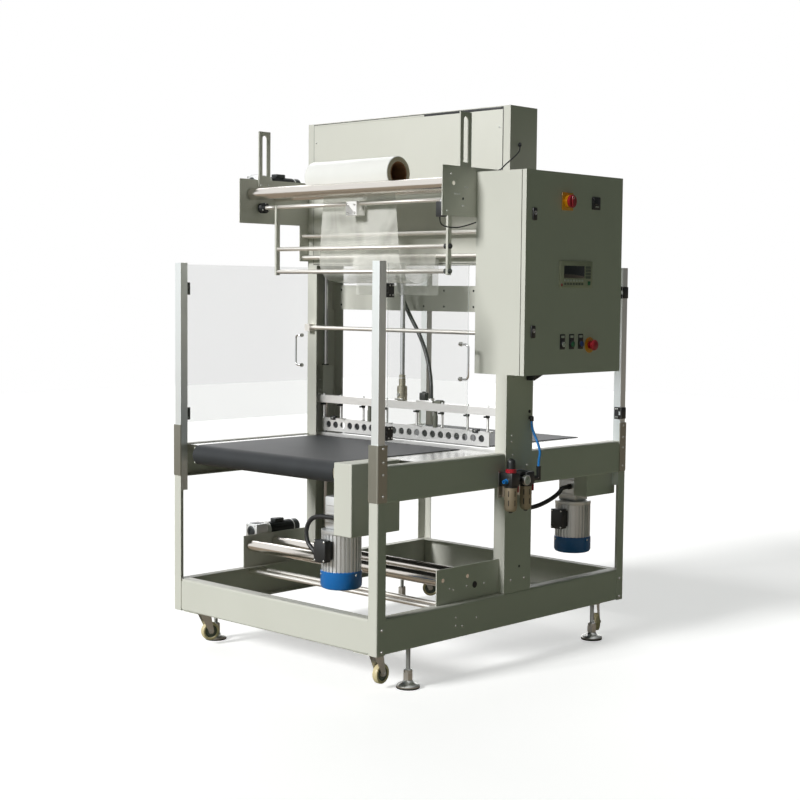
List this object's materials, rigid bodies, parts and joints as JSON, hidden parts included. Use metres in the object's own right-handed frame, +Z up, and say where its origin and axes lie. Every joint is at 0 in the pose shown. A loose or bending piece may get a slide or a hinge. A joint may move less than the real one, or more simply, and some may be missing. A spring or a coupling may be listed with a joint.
{
  "type": "sleeve-type shrink wrapping machine",
  "caption": "Floor-standing sleeve wrapper: belts pass packs through a film sealing head under a film cradle, with a control cabinet, clear doors and levelling feet.",
  "frame": {"origin": "on the floor under the middle of the machine's bounding box", "axes": "+X along the belts from infeed to outfeed, +Y from the operator's side to the rear, +Z up"},
  "size_m": [1.506, 1.471, 2.16],
  "materials": {
    "frame_paint": "fine texture powder coat",
    "post_aluminium": "anodised",
    "bracket_steel": "brushed",
    "table_steel": "mirror rolled",
    "ground_steel": "ground",
    "machined_aluminium": "machined",
    "belt_rubber": "smooth conveyor belt",
    "roller_steel": "polished",
    "motor_casing": "die cast",
    "film_rod_steel": "satin",
    "film_clear": "shrink film",
    "control_plastic": "moulded",
    "knob_red": "moulded",
    "black_plastic": "moulded",
    "hose_blue": "extruded polyurethane",
    "clear_acrylic": "clear cast acrylic",
    "fitting_chrome": "polished",
    "zinc_steel": "zinc plated",
    "wheel_polyurethane": "cast polyurethane"
  },
  "bodies": {
    "frame": {"base_side_rails": "frame_paint", "base_end_rails": "frame_paint", "corner_angles": "frame_paint", "guard_posts": "post_aluminium", "post_brackets": "bracket_steel", "mid_rails": "frame_paint", "side_tables": "table_steel", "columns": "frame_paint", "head_housing": "frame_paint", "cross_plate": "frame_paint", "guide_shafts": "ground_steel", "lower_jaw": "machined_aluminium", "lift_cylinder": "machined_aluminium", "conveyor_belts": "belt_rubber", "conveyor_frames": "frame_paint", "belt_rollers": "roller_steel", "drive_covers": "frame_paint", "drive_motors": "motor_casing", "cradle_plates": "frame_paint", "lower_cradle_plates": "frame_paint", "film_rods": "film_rod_steel", "guard_tube": "film_rod_steel", "film_web": "film_clear", "film_gearmotors": "motor_casing", "cabinet_body": "frame_paint", "air_unit": "black_plastic", "post_hinge_leaves": "black_plastic", "levelling_feet": "zinc_steel", "infeed_conduit": "black_plastic", "outfeed_conduit": "black_plastic", "sealing_conduit": "black_plastic", "air_hose": "hose_blue", "head_cable": "black_plastic", "sensor_cable": "black_plastic", "cable_fittings": "black_plastic"},
    "front_door": {"front_door_pane": "clear_acrylic", "front_door_fittings": "fitting_chrome"},
    "rear_door": {"rear_door_pane": "clear_acrylic", "rear_door_fittings": "fitting_chrome"},
    "cabinet_door": {"cabinet_door": "frame_paint", "door_devices": "control_plastic"},
    "main_switch": {"switch_knob": "knob_red"},
    "sealing_head": {"sealing_beam": "machined_aluminium", "sealing_bar": "machined_aluminium", "slide_carriages": "frame_paint", "lift_rod": "ground_steel"},
    "dancer": {"dancer_frame": "film_rod_steel"},
    "upper_roller_infeed_side": {"upper_roller_infeed_side": "roller_steel"},
    "upper_roller_outfeed_side": {"upper_roller_outfeed_side": "roller_steel"},
    "film_roll": {"film_roll": "film_clear"},
    "lower_roller_infeed_side": {"lower_roller_infeed_side": "roller_steel"},
    "lower_roller_outfeed_side": {"lower_roller_outfeed_side": "roller_steel"},
    "caster_front_infeed": {"caster_fork_front_infeed": "zinc_steel"},
    "wheel_front_infeed": {"caster_wheel_front_infeed": "wheel_polyurethane"},
    "caster_front_outfeed": {"caster_fork_front_outfeed": "zinc_steel"},
    "wheel_front_outfeed": {"caster_wheel_front_outfeed": "wheel_polyurethane"},
    "caster_rear_infeed": {"caster_fork_rear_infeed": "zinc_steel"},
    "wheel_rear_infeed": {"caster_wheel_rear_infeed": "wheel_polyurethane"},
    "caster_rear_outfeed": {"caster_fork_rear_outfeed": "zinc_steel"},
    "wheel_rear_outfeed": {"caster_wheel_rear_outfeed": "wheel_polyurethane"}
  },
  "joints": [
    {"name": "front_door_hinge", "type": "hinge", "parent": "frame", "child": "front_door", "pos_m": [-0.705, -0.4555, 0.912], "axis": [0, 0, -1], "range_deg": [0, 95]},
    {"name": "rear_door_hinge", "type": "hinge", "parent": "frame", "child": "rear_door", "pos_m": [-0.705, 0.6865, 0.912], "axis": [0, 0, 1], "range_deg": [0, 95]},
    {"name": "cabinet_door_hinge", "type": "hinge", "parent": "frame", "child": "cabinet_door", "pos_m": [0.359, -0.682, 1.146], "axis": [0, 0, 1], "range_deg": [0, 110]},
    {"name": "main_switch_turn", "type": "hinge", "parent": "cabinet_door", "child": "main_switch", "pos_m": [0, -0.7025, 1.789], "axis": [0, 1, 0], "range_deg": [0, 90]},
    {"name": "sealing_head_lift", "type": "slide", "parent": "frame", "child": "sealing_head", "axis": [0, 0, 1], "range_m": [0, 0.28], "deforming": ["sealing_conduit"]},
    {"name": "dancer_swing", "type": "hinge", "parent": "frame", "child": "dancer", "pos_m": [-0.317, 0.1, 1.792], "axis": [0, 1, 0], "range_deg": [0, 40]},
    {"name": "upper_roller_turn", "type": "hinge", "parent": "frame", "child": "upper_roller_infeed_side", "pos_m": [-0.37, -0.4615, 1.847], "axis": [0, 1, 0], "continuous": true},
    {"name": "upper_idler_turn", "type": "hinge", "parent": "frame", "child": "upper_roller_outfeed_side", "pos_m": [-0.23, -0.4615, 1.847], "axis": [0, 1, 0], "continuous": true},
    {"name": "film_roll_turn", "type": "hinge", "parent": "frame", "child": "film_roll", "pos_m": [-0.3, -0.1195, 1.90245], "axis": [0, 1, 0], "continuous": true},
    {"name": "lower_roller_turn", "type": "hinge", "parent": "frame", "child": "lower_roller_infeed_side", "pos_m": [-0.37, -0.4615, 0.372], "axis": [0, 1, 0], "continuous": true},
    {"name": "lower_idler_turn", "type": "hinge", "parent": "frame", "child": "lower_roller_outfeed_side", "pos_m": [-0.23, -0.4615, 0.372], "axis": [0, 1, 0], "continuous": true},
    {"name": "caster_swivel_front_infeed", "type": "hinge", "parent": "frame", "child": "caster_front_infeed", "pos_m": [-0.665, -0.3765, 0.15], "axis": [0, 0, 1], "continuous": true},
    {"name": "wheel_roll_front_infeed", "type": "hinge", "parent": "caster_front_infeed", "child": "wheel_front_infeed", "pos_m": [-0.63711, -0.37406, 0.0575], "axis": [-0.0872, 0.9962, 0], "continuous": true},
    {"name": "caster_swivel_front_outfeed", "type": "hinge", "parent": "frame", "child": "caster_front_outfeed", "pos_m": [0.665, -0.3765, 0.15], "axis": [0, 0, 1], "continuous": true},
    {"name": "wheel_roll_front_outfeed", "type": "hinge", "parent": "caster_front_outfeed", "child": "wheel_front_outfeed", "pos_m": [0.647, -0.39795, 0.0575], "axis": [0.766, -0.6428, 0], "continuous": true},
    {"name": "caster_swivel_rear_infeed", "type": "hinge", "parent": "frame", "child": "caster_rear_infeed", "pos_m": [-0.665, 0.6075, 0.15], "axis": [0, 0, 1], "continuous": true},
    {"name": "wheel_roll_rear_infeed", "type": "hinge", "parent": "caster_rear_infeed", "child": "wheel_rear_infeed", "pos_m": [-0.63795, 0.60025, 0.0575], "axis": [0.2588, 0.9659, 0], "continuous": true},
    {"name": "caster_swivel_rear_outfeed", "type": "hinge", "parent": "frame", "child": "caster_rear_outfeed", "pos_m": [0.665, 0.6075, 0.15], "axis": [0, 0, 1], "continuous": true},
    {"name": "wheel_roll_rear_outfeed", "type": "hinge", "parent": "caster_rear_outfeed", "child": "wheel_rear_outfeed", "pos_m": [0.6848, 0.5877, 0.0575], "axis": [0.7071, 0.7071, 0], "continuous": true}
  ],
  "couplings": [
    {"joint": "upper_idler_turn", "follows": "upper_roller_turn", "ratio": 1},
    {"joint": "film_roll_turn", "follows": "upper_roller_turn", "ratio": -0.36923}
  ]
}
